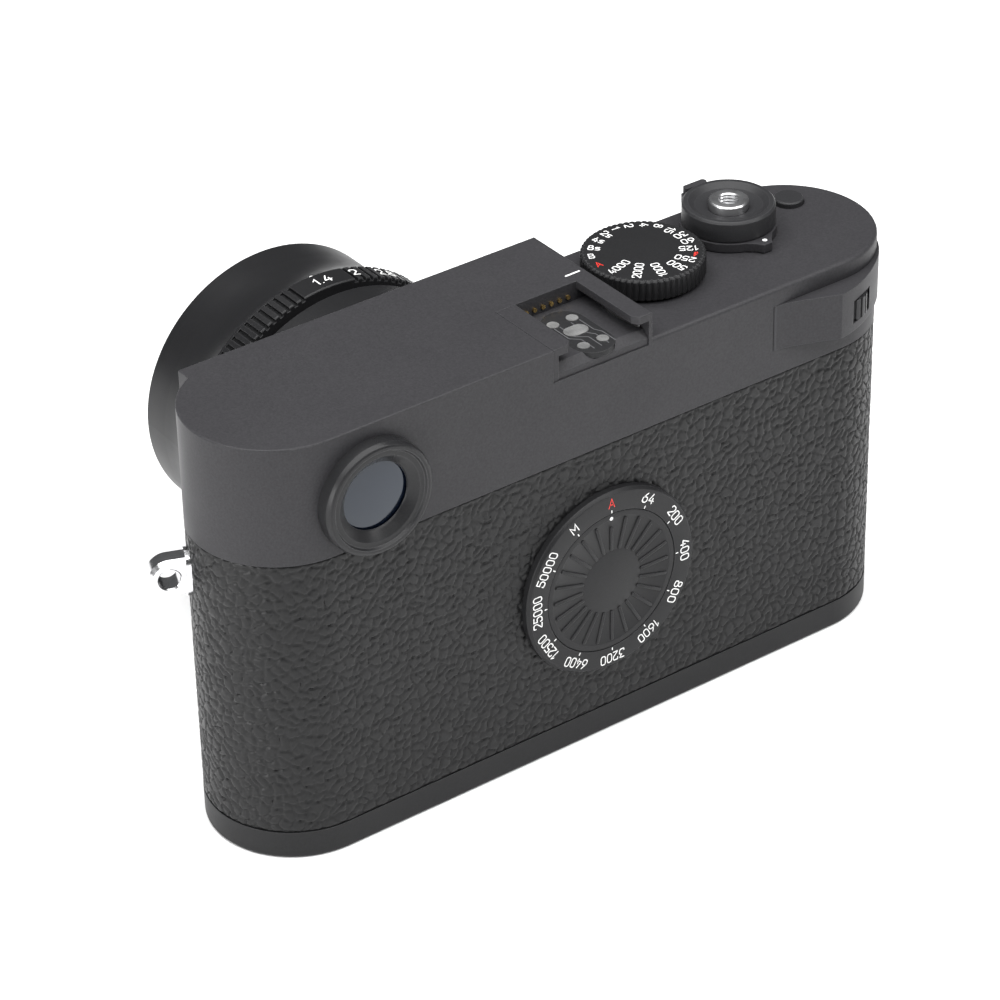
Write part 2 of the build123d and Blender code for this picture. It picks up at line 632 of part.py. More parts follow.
# =====================================================================  lens mount
with BuildPart() as lens_mount_ring:
    with BuildSketch(front_plane(SHELL_D / 2)):
        Circle(MOUNT_R)
        Circle(23.6, mode=Mode.SUBTRACT)
    extrude(amount=FLANGE_U - SHELL_D / 2)
    with BuildSketch(front_plane(16.4)):
        for start in (4, 124, 244):
            arm_0 = (cos(radians(start)), sin(radians(start)))
            arm_1 = (cos(radians(start + 52)), sin(radians(start + 52)))
            with BuildLine():
                CenterArc((0, 0), 22.1, start, 52)
                Line((22.1 * arm_1[0], 22.1 * arm_1[1]), (23.8 * arm_1[0], 23.8 * arm_1[1]))
                CenterArc((0, 0), 23.8, start, 52)
                Line((23.8 * arm_0[0], 23.8 * arm_0[1]), (22.1 * arm_0[0], 22.1 * arm_0[1]))
            make_face()
    extrude(amount=FLANGE_U - 16.4)
    with BuildSketch(front_plane(FLANGE_U)):
        with PolarLocations(25.3, 4, start_angle=45):
            Circle(0.82)
    extrude(amount=-4.0, mode=Mode.SUBTRACT)
    with BuildSketch(front_plane(FLANGE_U)):
        with PolarLocations(25.3, 4, start_angle=45):
            Circle(1.35)
    extrude(amount=-0.9, mode=Mode.SUBTRACT)
save(lens_mount_ring, "lens_mount_ring")

with BuildPart() as mount_screws:
    with BuildSketch(front_plane(FLANGE_U - 0.1)):
        with PolarLocations(25.3, 4, start_angle=45):
            Circle(1.3)
    extrude(amount=-0.75)
    with BuildSketch(front_plane(FLANGE_U - 0.85)):
        with PolarLocations(25.3, 4, start_angle=45):
            Circle(0.8)
    extrude(amount=-2.6)
save(mount_screws, "mount_screws")

# =====================================================================  lens
flange_body = revolve_lens([(20.2, 14.3), (21.6, 14.3), (21.6, FLANGE_U), (26.2, FLANGE_U), (26.2, 20.8),
                            (20.2, 20.8)])
with BuildPart() as lens_flange:
    add(flange_body.part)
    with BuildSketch(front_plane(14.4)):
        for start in (4, 124, 244):
            arm_0 = (cos(radians(start)), sin(radians(start)))
            arm_1 = (cos(radians(start + 48)), sin(radians(start + 48)))
            with BuildLine():
                CenterArc((0, 0), 21.0, start, 48)
                Line((21.0 * arm_1[0], 21.0 * arm_1[1]), (23.2 * arm_1[0], 23.2 * arm_1[1]))
                CenterArc((0, 0), 23.2, start, 48)
                Line((23.2 * arm_0[0], 23.2 * arm_0[1]), (21.0 * arm_0[0], 21.0 * arm_0[1]))
            make_face()
    extrude(amount=1.7)
save(lens_flange, "lens_flange")

lens_barrel = revolve_lens([(SLEEVE_R + 0.02, 20.8), (27.3, 20.8), (28.3, 23.4), (28.3, FOCUS_U[0] - 0.25),
                            (SLEEVE_R + 0.02, FOCUS_U[0] - 0.25)])
save(lens_barrel, "lens_barrel")

save(ring(SLEEVE_R, TUBE_R + RUN, 20.8, 48.6), "helicoid_sleeve")

focus_body = revolve_lens([(SLEEVE_R + RUN, FOCUS_U[0]), (FOCUS_R - 0.2, FOCUS_U[0]), (FOCUS_R, FOCUS_U[0] + 0.2),
                           (FOCUS_R, FOCUS_U[1] - 0.3), (FOCUS_R - 0.3, FOCUS_U[1]),
                           (SLEEVE_R + RUN, FOCUS_U[1])])
with BuildPart() as focus_ring:
    add(focus_body.part)
    with BuildSketch(front_plane(FOCUS_U[0] + 2.2)):
        with PolarLocations(FOCUS_R + 0.15, 72):
            Rectangle(1.3, 1.1)
    extrude(amount=6.4, mode=Mode.SUBTRACT)
save(focus_ring, "focus_ring")

lens_tube = revolve_lens([(22.6, 28.0), (TUBE_R, 28.0), (TUBE_R, 49.9), (27.0, 49.9), (27.0, 50.8), (SEAT_R, 50.8),
                          (SEAT_R, FLARE_U), (20.0, FLARE_U), (20.0, 52.0), (22.6, 52.0)])
save(lens_tube, "lens_tube")

aperture_body = ring(APERTURE_R, SEAT_R + RUN, *APERTURE_U)
with BuildPart() as aperture_ring:
    add(aperture_body.part)
    chamfer(aperture_ring.edges().filter_by(lambda e: e.geom_type == GeomType.CIRCLE and e.radius > APERTURE_R - 0.01), 0.2)
    with BuildSketch(front_plane(APERTURE_U[0])):
        for first in (12.0, 122.0, 191.0):
            with PolarLocations(APERTURE_R + 0.1, 15, start_angle=90 + first, angular_range=3.3 * 14,
                                endpoint=True):
                Rectangle(1.7, 0.75)
    extrude(amount=APERTURE_U[1] - APERTURE_U[0], mode=Mode.SUBTRACT)
save(aperture_ring, "aperture_ring")

with BuildPart() as front_barrel:
    with BuildSketch(Plane.XY.offset(LENS_Z)):
        with BuildLine():
            Spline([(LENS_X + FLARE_R, -FLARE_U - 0.5), (LENS_X + 27.35, -61.0), (LENS_X + RIM_R, -67.5)],
                   tangents=[(-0.55, -1), (0, -1)])
            Polyline([(LENS_X + RIM_R, -67.5), (LENS_X + RIM_R, -RIM_U + 0.25), (LENS_X + RIM_R - 0.25, -RIM_U),
                      (LENS_X + 25.8, -RIM_U), (LENS_X + 24.2, -66.8), (LENS_X + 22.6, -66.8),
                      (LENS_X + 22.6, -63.0), (LENS_X + 21.6, -63.0), (LENS_X + 21.6, -FLARE_U),
                      (LENS_X + FLARE_R, -FLARE_U), (LENS_X + FLARE_R, -FLARE_U - 0.5)])
        make_face()
    revolve(axis=LENS_AXIS)
save(front_barrel, "front_barrel")

retainer_body = ring(21.55, 19.9, 61.0, 62.8)
with BuildPart() as front_retainer:
    add(retainer_body.part)
    with BuildSketch(front_plane(62.8)):
        with PolarLocations(21.3, 2):
            Rectangle(1.4, 1.2)
    extrude(amount=-0.9, mode=Mode.SUBTRACT)
save(front_retainer, "front_retainer")


def element(r, u_back, u_edge_back, u_edge_front, u_front):
    """A lens element: edge radius and the stations of its back pole, edges and front pole."""
    back_mid = u_back - half_rise(r, u_back - u_edge_back)
    front_mid = u_front - half_rise(r, u_front - u_edge_front)
    with BuildPart() as glass:
        with BuildSketch(Plane.XY.offset(LENS_Z)):
            with BuildLine():
                ThreePointArc((LENS_X, -u_back), (LENS_X + r / 2, -back_mid), (LENS_X + r, -u_edge_back))
                Line((LENS_X + r, -u_edge_back), (LENS_X + r, -u_edge_front))
                ThreePointArc((LENS_X + r, -u_edge_front), (LENS_X + r / 2, -front_mid), (LENS_X, -u_front))
                Line((LENS_X, -u_front), (LENS_X, -u_back))
            make_face()
        revolve(axis=LENS_AXIS)
    return glass


save(element(21.5, 58.0, 56.4, 60.4, 62.9), "front_element")
save(element(16.9, 51.0, 50.2, 51.9, 53.2), "second_element")
save(element(16.9, 37.6, 36.6, 40.4, 42.2), "third_element")
save(element(13.9, 9.2, 10.2, 12.4, 13.4), "rear_element")

save(revolve_lens([(17.0, 44.0), (22.55, 44.0), (22.55, 51.95), (17.0, 51.95), (17.0, 48.4), (19.0, 48.4),
                   (19.0, 47.4), (17.0, 47.4)]), "iris_housing")

with BuildPart() as iris_blades:
    with BuildSketch(front_plane(47.6)):
        Circle(18.9)
        RegularPolygon(15.2, 11, mode=Mode.SUBTRACT)
    extrude(amount=0.6)
save(iris_blades, "iris_blades")

save(revolve_lens([(12.6, 8.0), (19.7, 8.0), (19.7, 26.6), (22.55, 28.6), (22.55, 43.95), (17.0, 43.95),
                   (17.0, 26.0), (14.0, 24.0), (14.0, 9.2), (12.6, 9.2)]), "rear_cell")

# =====================================================================  front controls
release_plane = back_plane(-20.4, -21.5, 12.5)
with BuildPart() as lens_release_button:
    with BuildSketch(release_plane):
        Circle(4.0)
    extrude(amount=6.4)
    chamfer(lens_release_button.edges().group_by(Axis.Y)[0], 0.4)
save(lens_release_button, "lens_release_button")

with BuildPart() as release_guard:
    with BuildSketch(back_plane(-17.6, -21.5, 12.5)):
        Circle(5.65)
        Circle(4.0 + 0.08, mode=Mode.SUBTRACT)
    extrude(amount=17.6 - SHELL_D / 2)
save(release_guard, "release_guard")

with BuildPart() as frame_selector_lever:
    with BuildSketch(back_plane(-18.9, -27.0, 42.0)):
        Circle(4.2)
        with BuildLine():
            Polyline([(-3.4, 0), (-2.1, -12.0), (-2.6, -16.5), (2.6, -16.5), (2.1, -12.0), (3.4, 0)], close=True)
        make_face()
    extrude(amount=2.2)
    fillet(frame_selector_lever.edges().filter_by(Axis.Y).group_by(Axis.Z)[0], 1.8)
    with BuildSketch(back_plane(-16.7, -27.0, 42.0)):
        Circle(2.0)
    extrude(amount=4.6)
save(frame_selector_lever, "frame_selector_lever")

# =====================================================================  battery and latch
with BuildPart() as battery:
    with Locations(((BATT_X[0] + BATT_X[1]) / 2, 0, 0.35)):
        Box(BATT_X[1] - BATT_X[0], 2 * BATT_Y, 45.0, align=(Align.CENTER, Align.CENTER, Align.MIN))
    fillet(battery.edges().filter_by(Axis.Z), 2.0)
save(battery, "battery")

with BuildPart() as battery_latch:
    with BuildSketch(Plane.XY.offset(0.15)):
        with Locations(LATCH_C):
            Circle(LATCH_R)
            with Locations((4.6, 0)):
                SlotOverall(9.0, 2.4, rotation=90, mode=Mode.SUBTRACT)
    extrude(amount=1.0)
    with BuildSketch(Plane.XY.offset(1.15)):
        with Locations(LATCH_C):
            Circle(2.0)
    extrude(amount=3.2)
save(battery_latch, "battery_latch")

# =====================================================================  inside
CHASSIS_X = (-31.0, 50.0)
with BuildPart() as chassis:
    with Locations(((CHASSIS_X[0] + CHASSIS_X[1]) / 2, -11.8, 32.5)):
        Box(CHASSIS_X[1] - CHASSIS_X[0], 3.0, 49.0)
    for wall_x in (-17.0, 34.6):
        with Locations((wall_x, 0.9, 32.5)):
            Box(2.0, 22.6, 49.0)
    with BuildSketch(front_plane(SHELL_D / 2 - 1)):
        Circle(23.6)
    extrude(amount=-6, mode=Mode.SUBTRACT)
    with BuildSketch(back_plane(-14.0, -21.5, 12.5)):
        Circle(4.3)
    extrude(amount=5, mode=Mode.SUBTRACT)
    with BuildSketch(back_plane(-14.0, -27.0, 42.0)):
        Circle(2.3)
    extrude(amount=5, mode=Mode.SUBTRACT)
save(chassis, "chassis")

with BuildPart() as shutter_frame:
    with Locations((LENS_X, 3.0, LENS_Z)):
        Box(49.6, 5.0, 36.0)
        Box(37.0, 5.0, 25.0, mode=Mode.SUBTRACT)
save(shutter_frame, "shutter_frame")

with BuildPart() as shutter_blades:
    for row in range(4):
        with Locations((LENS_X, 1.6 + 0.45 * row, LENS_Z + 9.2 - 6.13 * row)):
            Box(36.9, 0.35, 6.5)
save(shutter_blades, "shutter_blades")

with BuildPart() as image_sensor:
    with Locations((LENS_X, 9.4, LENS_Z)):
        Box(49.6, 1.0, 34.0)
    with Locations((LENS_X, 8.5, LENS_Z)):
        Box(38.0, 0.8, 26.0)
save(image_sensor, "image_sensor")

with BuildPart() as main_board:
    with Locations((9.0, 12.75, 33.0)):
        Box(76.0, 0.9, 48.0)
    with BuildSketch(back_plane(11.0, *ISO_C)):
        Circle(4.5)
    extrude(amount=3, mode=Mode.SUBTRACT)
    with Locations((27.0, 11.8, 42.0)):
        Box(8.0, 1.0, 8.0)
save(main_board, "main_board")
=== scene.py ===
"""Looks of a rangefinder camera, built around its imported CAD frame."""
import math

import bmesh
import bpy
import numpy as np
from mathutils import Matrix, Vector


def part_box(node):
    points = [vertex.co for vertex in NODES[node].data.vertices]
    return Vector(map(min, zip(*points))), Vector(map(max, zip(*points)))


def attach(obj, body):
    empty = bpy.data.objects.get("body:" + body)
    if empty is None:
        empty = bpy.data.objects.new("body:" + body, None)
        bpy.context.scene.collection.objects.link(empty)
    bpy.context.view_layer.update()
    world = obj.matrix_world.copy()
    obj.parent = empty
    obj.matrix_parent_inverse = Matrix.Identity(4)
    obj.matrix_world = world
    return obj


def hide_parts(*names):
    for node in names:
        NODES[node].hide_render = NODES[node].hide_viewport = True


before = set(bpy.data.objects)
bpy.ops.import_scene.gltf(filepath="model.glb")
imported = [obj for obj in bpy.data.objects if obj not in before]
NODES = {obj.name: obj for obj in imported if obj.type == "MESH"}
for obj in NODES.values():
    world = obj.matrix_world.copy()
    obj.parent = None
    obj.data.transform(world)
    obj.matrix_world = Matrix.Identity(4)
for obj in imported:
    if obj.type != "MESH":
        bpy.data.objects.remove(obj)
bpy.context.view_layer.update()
MM = 0.001

# ---------------------------------------------------------------- places, in millimetres
BODY_W, BODY_D = 139.0, 32.0
END_R = BODY_D / 2
END_X = BODY_W / 2 - END_R
BASE_TOP, LEATHER_TOP, DECK_LOW, DECK_HIGH = 5.35, 59.2, 76.3, 81.4
LENS = (8.8, 34.0)
ISO = (-1.4, 32.4)
EYE = (46.1, 68.4)
DIAL = (-23.7, -2.4)
RELEASE = (-44.9, -5.35)
DIAL_TOP = 80.8
ISO_FACE = 17.6               # y of the fixed sensitivity scale
APERTURE_R, FRONT_BARREL_R = 29.5, 28.9
LENS_RELEASE, FRAME_LEVER = (-21.5, 12.5), (-27.0, 42.0)
LUG_TURN, LUG_Z = 22.0, 50.8

# ================================================================ materials


class Nodes:
    """A material's node tree, with short calls for the nodes that this scene uses."""

    def __init__(self, name, base, rough, metallic=0.0, **sockets):
        self.mat = bpy.data.materials.new(name)
        self.mat.use_nodes = True
        self.tree = self.mat.node_tree
        self.bsdf = self.tree.nodes["Principled BSDF"]
        self.bsdf.inputs["Base Color"].default_value = (*base, 1)
        self.bsdf.inputs["Roughness"].default_value = rough
        self.bsdf.inputs["Metallic"].default_value = metallic
        for key, value in sockets.items():
            self.bsdf.inputs[key.replace("_", " ")].default_value = value
        self.where = self.tree.nodes.new("ShaderNodeTexCoord").outputs["Object"]
        self.last_bump = None
        self.mat.diffuse_color = (*base, 1)

    def link(self, a, b):
        self.tree.links.new(a, b)

    def noise(self, scale, detail=2.0, rough=0.5, distortion=0.0, stretch=None):
        n = self.tree.nodes.new("ShaderNodeTexNoise")
        n.inputs["Scale"].default_value = scale
        n.inputs["Detail"].default_value = detail
        n.inputs["Roughness"].default_value = rough
        n.inputs["Distortion"].default_value = distortion
        source = self.where
        if stretch:
            m = self.tree.nodes.new("ShaderNodeMapping")
            m.inputs["Scale"].default_value = stretch
            self.link(source, m.inputs["Vector"])
            source = m.outputs["Vector"]
        self.link(source, n.inputs["Vector"])
        return n.outputs["Fac"]

    def span(self, source, low, high, out_low, out_high):
        n = self.tree.nodes.new("ShaderNodeMapRange")
        for key, value in (("From Min", low), ("From Max", high), ("To Min", out_low), ("To Max", out_high)):
            n.inputs[key].default_value = value
        self.link(source, n.inputs["Value"])
        return n.outputs["Result"]

    def rounded(self, radius):
        """Normals that run round sharp edges over this radius in metres, to start the relief from."""
        n = self.tree.nodes.new("ShaderNodeBevel")
        n.samples = 4
        n.inputs["Radius"].default_value = radius
        self.last_bump = n.outputs["Normal"]
        return n.outputs["Normal"]

    def wear(self, normal):
        """Zero on open faces, rising to one where the rounded normal leaves the true one, at edges."""
        g = self.tree.nodes.new("ShaderNodeNewGeometry")
        dot = self.tree.nodes.new("ShaderNodeVectorMath")
        dot.operation = "DOT_PRODUCT"
        self.link(normal, dot.inputs[0])
        self.link(g.outputs["Normal"], dot.inputs[1])
        return self.span(dot.outputs["Value"], 0.995, 0.90, 0.0, 1.0)

    def mix(self, fac, a, b):
        n = self.tree.nodes.new("ShaderNodeMix")
        n.data_type = "RGBA"
        for socket, value in ((n.inputs[0], fac), (n.inputs[6], a), (n.inputs[7], b)):
            if isinstance(value, (int, float)):
                socket.default_value = value
            elif isinstance(value, tuple):
                socket.default_value = (*value, 1)
            else:
                self.link(value, socket)
        return n.outputs[2]

    def colour(self, source):
        self.link(source, self.bsdf.inputs["Base Color"])

    def rough(self, source):
        self.link(source, self.bsdf.inputs["Roughness"])

    def bump(self, source, distance, strength=1.0):
        """Height in metres of relief, stacked on any bump made before."""
        n = self.tree.nodes.new("ShaderNodeBump")
        n.inputs["Strength"].default_value = strength
        n.inputs["Distance"].default_value = distance
        self.link(source, n.inputs["Height"])
        if self.last_bump:
            self.link(self.last_bump, n.inputs["Normal"])
        self.last_bump = n.outputs["Normal"]
        self.link(self.last_bump, self.bsdf.inputs["Normal"])


def coated_metal(name, base, rough, grain=3200.0, relief=0.000012, worn=None, spread=0.05, edge=0.00022,
                 tint=0.18, shine=0.23):
    """Painted or anodised metal: fine grain, a sheen that varies, and edges rubbed a little lighter."""
    m = Nodes(name, base, rough, Specular_IOR_Level=shine)
    fine = m.noise(grain, 3.0, 0.6)
    cloud = m.noise(60.0, 4.0, 0.6, 0.4)
    dark = tuple(c * (1 - tint) for c in base)
    light = tuple(c * (1 + tint) for c in base)
    tone = m.mix(m.span(fine, 0.3, 0.7, 0.0, 1.0), dark, light)
    corner = m.rounded(edge)
    if worn:
        tone = m.mix(m.span(m.wear(corner), 0.0, 1.0, 0.0, 0.6), tone, worn)
    m.colour(tone)
    m.rough(m.span(cloud, 0.3, 0.7, rough - spread, rough + spread))
    m.bump(fine, relief)
    return m


def brushed(name, base, rough, stretch, scale=900.0, relief=0.000006):
    """Bare metal with fine lines along one way and faint smudges."""
    m = Nodes(name, base, rough, 1.0)
    lines = m.noise(scale, 3.0, 0.7, 0.0, stretch)
    smudge = m.noise(140.0, 3.0, 0.6)
    m.colour(m.mix(m.span(lines, 0.3, 0.7, 0.0, 1.0), tuple(c * 0.82 for c in base), base))
    m.rough(m.span(smudge, 0.3, 0.7, rough - 0.07, rough + 0.1))
    m.bump(lines, relief)
    return m


PAINT = coated_metal("matte_black_paint", (0.029, 0.0283, 0.0308), 0.48, 2600.0, 0.000016, (0.06, 0.06, 0.064))
DARK_PAINT = coated_metal("base_band_paint", (0.012, 0.012, 0.0127), 0.46, 2600.0, 0.000012, (0.05, 0.05, 0.053))
ANODISED = coated_metal("black_anodised", (0.022, 0.022, 0.0235), 0.42, 4200.0, 0.000006, (0.07, 0.07, 0.073))
DIAL_BLACK = coated_metal("dial_black", (0.013, 0.013, 0.0138), 0.40, 4200.0, 0.000006, (0.07, 0.07, 0.073))
LENS_BLACK = coated_metal("lens_satin_black", (0.011, 0.011, 0.0118), 0.36, 4200.0, 0.000003, (0.06, 0.06, 0.063))
DULL_BLACK = coated_metal("flocked_black", (0.006, 0.006, 0.0065), 0.75, 2200.0, 0.00002)
RIM_GREY = coated_metal("rubbed_rim", (0.016, 0.016, 0.017), 0.34, 3600.0, 0.00001, (0.16, 0.16, 0.165), 0.08)
PLASTIC = coated_metal("moulded_black", (0.014, 0.014, 0.015), 0.55, 1800.0, 0.00002, (0.06, 0.06, 0.06))
CHASSIS_GREY = coated_metal("cast_grey", (0.26, 0.26, 0.27), 0.55, 900.0, 0.00003, (0.4, 0.4, 0.4), 0.1)
CIRCUIT = coated_metal("circuit_green", (0.02, 0.13, 0.06), 0.45, 700.0, 0.00002)
STEEL = brushed("polished_steel", (0.72, 0.72, 0.73), 0.16, (1.0, 1.0, 1.0), 500.0, 0.000002)
SATIN_STEEL = brushed("satin_steel", (0.66, 0.66, 0.67), 0.30, (1.0, 1.0, 12.0), 700.0)
GOLD = brushed("contact_gold", (0.83, 0.58, 0.22), 0.25, (1.0, 1.0, 6.0), 900.0)
CONTACT = brushed("contact_silver", (0.93, 0.93, 0.92), 0.34, (4.0, 1.0, 1.0), 900.0)


def glass(name, base, rough, coat, coat_tint):
    """Coated glass: dark body with a coloured coating that breaks up faintly across the surface."""
    m = Nodes(name, base, rough, Coat_Weight=coat, Coat_Roughness=0.02, IOR=1.45)
    m.bsdf.inputs["Coat Tint"].default_value = (*coat_tint, 1)
    film = m.noise(26.0, 2.0, 0.5)
    m.colour(m.mix(m.span(film, 0.35, 0.65, 0.0, 1.0), base, tuple(c * 1.5 for c in base)))
    smear = m.noise(220.0, 4.0, 0.6)
    m.rough(m.span(smear, 0.3, 0.8, rough, rough + 0.05))
    m.bump(m.noise(90.0, 1.0), 0.000001)
    return m


FINDER_GLASS = glass("finder_glass", (0.004, 0.006, 0.011), 0.04, 0.35, (0.55, 0.75, 1.0))
FRONT_GLASS = glass("front_glass", (0.012, 0.010, 0.024), 0.03, 1.0, (0.7, 0.55, 1.0))
SENSOR = glass("sensor_cover", (0.03, 0.06, 0.055), 0.05, 1.0, (0.6, 1.0, 0.8))


def mark(name, base):
    """Paint filled into an engraving, slightly uneven."""
    m = Nodes(name, base, 0.5)
    fill = m.noise(1500.0, 3.0, 0.6)
    m.colour(m.mix(m.span(fill, 0.3, 0.7, 0.0, 1.0), tuple(c * 0.88 for c in base), base))
    m.rough(m.span(fill, 0.3, 0.7, 0.42, 0.6))
    m.bump(fill, 0.00001)
    return m


WHITE = mark("white_fill", (0.86, 0.86, 0.85))
RED = mark("red_fill", (0.72, 0.03, 0.02))
GREY_MARK = mark("grey_line", (0.10, 0.10, 0.105))

leather = Nodes("pebbled_leather", (0.013, 0.013, 0.0135), 0.46, Specular_IOR_Level=0.27)
pores = leather.noise(5200.0, 3.0, 0.65)
hide = leather.noise(380.0, 3.0, 0.55)
leather.colour(leather.mix(leather.span(hide, 0.3, 0.7, 0.0, 1.0), (0.006, 0.006, 0.0063), (0.010, 0.010, 0.0104)))
leather.rough(leather.span(hide, 0.3, 0.7, 0.33, 0.46))
leather.bump(hide, 0.00002)
leather.bump(pores, 0.000008)
LEATHER = leather

CAD_FINISH = {
    "matte_black_paint": (PAINT, "top_plate thumb_rest shoe_plate shoe_block release_guard main_switch"),
    "base band": (DARK_PAINT, "base_plate"),
    "black_anodised": (ANODISED, "body_shell iso_ring iso_disc thumb_wheel shutter_dial function_button "
                                 "release_collar frame_selector_lever viewfinder_bezel eyepiece_ring"),
    "lens": (LENS_BLACK, "lens_barrel focus_ring aperture_ring front_barrel"),
    "dull": (DULL_BLACK, "eyepiece_tube lens_tube iris_housing rear_cell helicoid_sleeve front_retainer"),
    "leather": (LEATHER, "leather_wrap"),
    "steel": (STEEL, "strap_lug_left strap_lug_right lens_flange lens_mount_ring lens_release_button"),
    "satin": (SATIN_STEEL, "release_button base_screws mount_screws shutter_dial_axle thumb_wheel_pin tripod_bush "
                           "usb_port shutter_blades iris_blades shoe_spring"),
    "gold": (GOLD, "shoe_pins"),
    "contact": (CONTACT, "shoe_contacts"),
    "front glass": (FRONT_GLASS, "front_element second_element third_element rear_element"),
    "finder glass": (FINDER_GLASS, "eyepiece_lens viewfinder_block viewfinder_window rangefinder_window"),
    "plastic": (PLASTIC, "shoe_insulator shutter_frame battery_latch battery"),
    "circuit": (CIRCUIT, "main_board"),
    "sensor": (SENSOR, "image_sensor"),
    "cast": (CHASSIS_GREY, "chassis"),
}
for finish, names in CAD_FINISH.values():
    for name in names.split():
        node = NODES[name]
        node.data.materials.clear()
        node.data.materials.append(finish.mat)

# ================================================================ mesh helpers


def piece(name, verts, faces, body, finish, stands_for=(), angle=32.0, scale=MM):
    """A closed mesh, smooth but for its sharp edges, that rides on a body."""
    mesh = bpy.data.meshes.new(name)
    mesh.from_pydata([tuple(scale * c for c in v) for v in verts], [], faces)
    bm = bmesh.new()
    bm.from_mesh(mesh)
    bmesh.ops.recalc_face_normals(bm, faces=bm.faces)
    bm.to_mesh(mesh)
    bm.free()
    mesh.polygons.foreach_set("use_smooth", [True] * len(mesh.polygons))
    mesh.set_sharp_from_angle(angle=math.radians(angle))
    mesh.materials.append(finish.mat)
    obj = bpy.data.objects.new(name, mesh)
    bpy.context.scene.collection.objects.link(obj)
    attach(obj, body)
    if stands_for:
        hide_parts(*stands_for)
    return obj


def soften(points, closed=True, steps=4):
    """Corners (a, b) or (a, b, radius) as a line whose corners are rounded to that radius."""
    out = []
    for i, p in enumerate(points):
        radius = p[2] if len(p) > 2 else 0.0
        if radius <= 0 or (not closed and i in (0, len(points) - 1)):
            out.append((p[0], p[1]))
            continue
        here = np.array(p[:2], float)
        u = np.array(points[i - 1][:2], float) - here
        v = np.array(points[(i + 1) % len(points)][:2], float) - here
        lu, lv = np.linalg.norm(u), np.linalg.norm(v)
        u, v = u / lu, v / lv
        half = math.acos(max(-1.0, min(1.0, float(u @ v)))) / 2
        if half > math.pi / 2 - 1e-3:
            out.append((p[0], p[1]))
            continue
        reach = min(radius / math.tan(half), 0.49 * lu, 0.49 * lv)
        r = reach * math.tan(half)
        centre = here + (u + v) / np.linalg.norm(u + v) * (r / math.sin(half))
        a, b = here + u * reach - centre, here + v * reach - centre
        sweep = math.pi - 2 * half
        for k in range(steps + 1):
            t = k / steps
            w = (math.sin((1 - t) * sweep) * a + math.sin(t * sweep) * b) / math.sin(sweep)
            out.append(tuple(centre + w))
    return out


def seat_lens(r, theta, u):
    """Lens coordinates: radius, angle from the top towards +X, distance in front."""
    return (LENS[0] + r * math.sin(theta), -u, LENS[1] + r * math.cos(theta))


def seat_back(centre):
    """Back coordinates: radius, clockwise angle from the top as seen from behind, depth y."""
    return lambda r, theta, y: (centre[0] - r * math.sin(theta), y, centre[1] + r * math.cos(theta))


def seat_deck(centre):
    """Deck coordinates: radius, clockwise angle from +Y seen from above, height z."""
    return lambda r, theta, z: (centre[0] + r * math.sin(theta), centre[1] + r * math.cos(theta), z)


def lathe(name, profile, seat, body, finish, stands_for=(), n=256, shape=None, steps=4, angle=32.0):
    """A turned piece from a closed profile of (radius, station[, corner radius]); shape(theta, r, s) bends it."""
    line = soften(profile, True, steps)
    verts, rows = [], []
    for r, s in line:
        if r < 1e-6:
            rows.append([len(verts)])
            verts.append(seat(0.0, 0.0, s))
            continue
        rows.append(list(range(len(verts), len(verts) + n)))
        for k in range(n):
            theta = 2 * math.pi * k / n
            rr, ss = shape(theta, r, s) if shape else (r, s)
            verts.append(seat(rr, theta, ss))
    faces = []
    count = len(rows)
    for i in range(count):
        a, b = rows[i], rows[(i + 1) % count]
        if len(a) == 1 and len(b) == 1:
            continue
        for k in range(n):
            j = (k + 1) % n
            if len(a) == 1:
                faces.append((a[0], b[j], b[k]))
            elif len(b) == 1:
                faces.append((a[k], a[j], b[0]))
            else:
                faces.append((a[k], a[j], b[j], b[k]))
    return piece(name, verts, faces, body, finish, stands_for, angle)


# ================================================================ markings

